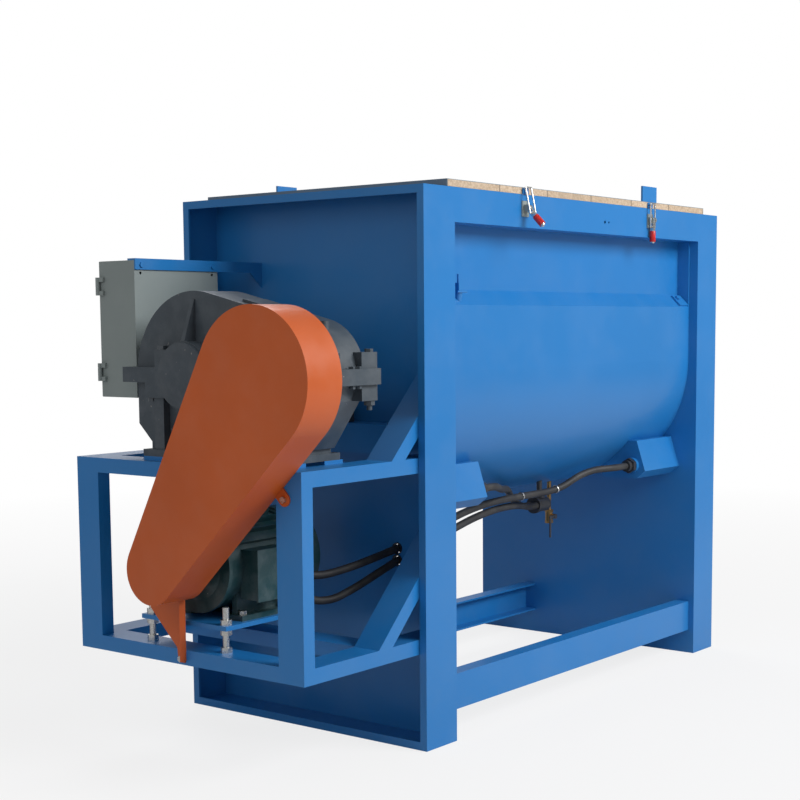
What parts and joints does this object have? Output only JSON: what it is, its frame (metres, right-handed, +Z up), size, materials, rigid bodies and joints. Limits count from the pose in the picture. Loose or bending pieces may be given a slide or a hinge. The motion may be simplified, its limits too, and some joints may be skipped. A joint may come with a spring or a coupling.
{
  "type": "ribbon blender",
  "caption": "horizontal jacketed powder mixer with a double helical ribbon on a geared and belted drive, painted steel end frames and a hinged wooden lid",
  "frame": {"origin": "middle of the machine's bounding box, on the floor", "axes": "+X along the trough from the drive end to the far end, +Y towards the hinged side of the lid, +Z up"},
  "size_m": [2.229, 1.019, 1.5748],
  "materials": {
    "blue_paint": "gloss",
    "orange_paint": "gloss",
    "reducer_paint": "gloss",
    "green_paint": "gloss",
    "grey_paint": "satin",
    "lid_sheet_paint": "satin",
    "timber": "raw",
    "stainless": "satin",
    "bare_steel": "machined",
    "zinc_plate": "satin",
    "cast_grey": "cast",
    "belt_rubber": "matt",
    "black_plastic": "matt",
    "valve_brass": "satin",
    "lever_black": "satin",
    "green_plastic": "gloss",
    "red_plastic": "gloss"
  },
  "bodies": {
    "machine": {"drive_end_plate": "blue_paint", "far_end_plate": "blue_paint", "end_frame_posts": "blue_paint", "end_frame_rails": "blue_paint", "trough_shell": "blue_paint", "heating_jacket": "blue_paint", "jacket_end_rings": "blue_paint", "top_beams": "blue_paint", "base_rails": "blue_paint", "heater_boxes": "blue_paint", "cage_tubes": "blue_paint", "cage_braces": "blue_paint", "bearing_shelves": "blue_paint", "motor_plate": "blue_paint", "cabinet_bracket": "blue_paint", "lid_hinge_brackets": "blue_paint", "discharge_hinge": "blue_paint", "oil_filler": "blue_paint", "belt_guard": "orange_paint", "reducer_lower_case": "reducer_paint", "reducer_upper_case": "reducer_paint", "reducer_caps": "reducer_paint", "drive_bolts": "reducer_paint", "motor_frame": "green_paint", "motor_covers": "green_paint", "terminal_box": "green_paint", "cabinet_body": "grey_paint", "clamp_bases": "grey_paint", "cage_fasteners": "zinc_plate", "bearing_blocks": "cast_grey", "drive_belts": "belt_rubber", "heater_conduit": "belt_rubber", "motor_cables": "belt_rubber", "cable_glands": "black_plastic", "temperature_probe": "black_plastic", "drain_valve": "valve_brass"},
    "agitator": {"agitator_shaft": "stainless", "ribbon_spokes": "stainless", "outer_ribbon": "stainless", "inner_ribbon": "stainless", "output_shaft": "bare_steel", "shaft_coupling": "bare_steel"},
    "input": {"input_shaft": "bare_steel", "input_pulley": "cast_grey"},
    "motor_rotor": {"motor_shaft": "bare_steel", "motor_pulley": "cast_grey"},
    "lid": {"lid_planks": "timber", "lid_skin": "lid_sheet_paint", "lid_fittings": "blue_paint"},
    "left_lever": {"left_clamp_lever": "zinc_plate"},
    "right_lever": {"right_clamp_lever": "zinc_plate"},
    "left_bail": {"left_clamp_bail": "zinc_plate"},
    "right_bail": {"right_clamp_bail": "zinc_plate"},
    "drain_handle": {"drain_lever": "lever_black"},
    "outlet_door": {"discharge_door": "blue_paint"},
    "outlet_latch": {"discharge_latch": "zinc_plate"},
    "cabinet_leaf": {"cabinet_door": "grey_paint"},
    "cabinet_catch": {"cabinet_lock": "zinc_plate"},
    "start": {"start_button": "green_plastic"},
    "stop": {"stop_button": "red_plastic"}
  },
  "joints": [
    {"name": "agitator_spin", "type": "hinge", "parent": "machine", "child": "agitator", "pos_m": [0.2895, 0.0465, 1.012], "axis": [1, 0, 0], "continuous": true},
    {"name": "input_spin", "type": "hinge", "parent": "machine", "child": "input", "pos_m": [-0.9105, -0.3035, 1.012], "axis": [1, 0, 0], "continuous": true},
    {"name": "motor_spin", "type": "hinge", "parent": "machine", "child": "motor_rotor", "pos_m": [-0.9605, 0.0515, 0.514], "axis": [1, 0, 0], "continuous": true},
    {"name": "lid_open", "type": "hinge", "parent": "machine", "child": "lid", "pos_m": [0.2895, 0.4935, 1.5448], "axis": [-1, 0, 0], "range_deg": [0, 95]},
    {"name": "left_lever_swing", "type": "hinge", "parent": "machine", "child": "left_lever", "pos_m": [-0.0665, -0.4105, 1.462], "axis": [-1, 0, 0], "range_deg": [-45, 45]},
    {"name": "left_bail_swing", "type": "hinge", "parent": "left_lever", "child": "left_bail", "pos_m": [-0.0665, -0.42606, 1.44644], "axis": [-1, 0, 0], "range_deg": [-34, 34]},
    {"name": "right_lever_swing", "type": "hinge", "parent": "machine", "child": "right_lever", "pos_m": [0.6455, -0.4105, 1.462], "axis": [-1, 0, 0], "range_deg": [0, 90]},
    {"name": "right_bail_swing", "type": "hinge", "parent": "right_lever", "child": "right_bail", "pos_m": [0.6455, -0.4105, 1.44], "axis": [-1, 0, 0], "range_deg": [-67, 1]},
    {"name": "drain_turn", "type": "hinge", "parent": "machine", "child": "drain_handle", "pos_m": [0.5955, -0.0735, 0.494], "axis": [0, -1, 0], "range_deg": [0, 90]},
    {"name": "outlet_door_open", "type": "hinge", "parent": "machine", "child": "outlet_door", "pos_m": [0.9945, 0.1855, 0.717], "axis": [0, 0, 1], "range_deg": [0, 110]},
    {"name": "outlet_latch_turn", "type": "hinge", "parent": "machine", "child": "outlet_latch", "pos_m": [0.9995, -0.1035, 0.717], "axis": [-1, 0, 0], "range_deg": [0, 90]},
    {"name": "cabinet_door_open", "type": "hinge", "parent": "machine", "child": "cabinet_leaf", "pos_m": [-0.9025, 0.448, 1.131], "axis": [0, 0, 1], "range_deg": [0, 110]},
    {"name": "cabinet_catch_turn", "type": "hinge", "parent": "cabinet_leaf", "child": "cabinet_catch", "pos_m": [-0.6195, 0.4468, 1.131], "axis": [0, -1, 0], "range_deg": [0, 90]},
    {"name": "start_press", "type": "slide", "parent": "cabinet_leaf", "child": "start", "axis": [0, -1, 0], "range_m": [0, 0.0035], "stiffness_N_per_m": 400},
    {"name": "stop_press", "type": "slide", "parent": "cabinet_leaf", "child": "stop", "axis": [0, -1, 0], "range_m": [0, 0.0035], "stiffness_N_per_m": 400}
  ],
  "couplings": [
    {"joint": "input_spin", "follows": "agitator_spin", "ratio": 15.75},
    {"joint": "motor_spin", "follows": "agitator_spin", "ratio": 39.375},
    {"joint": "left_bail_swing", "follows": "left_lever_swing", "ratio": -0.729},
    {"joint": "right_bail_swing", "follows": "right_lever_swing", "ratio": -0.729}
  ]
}
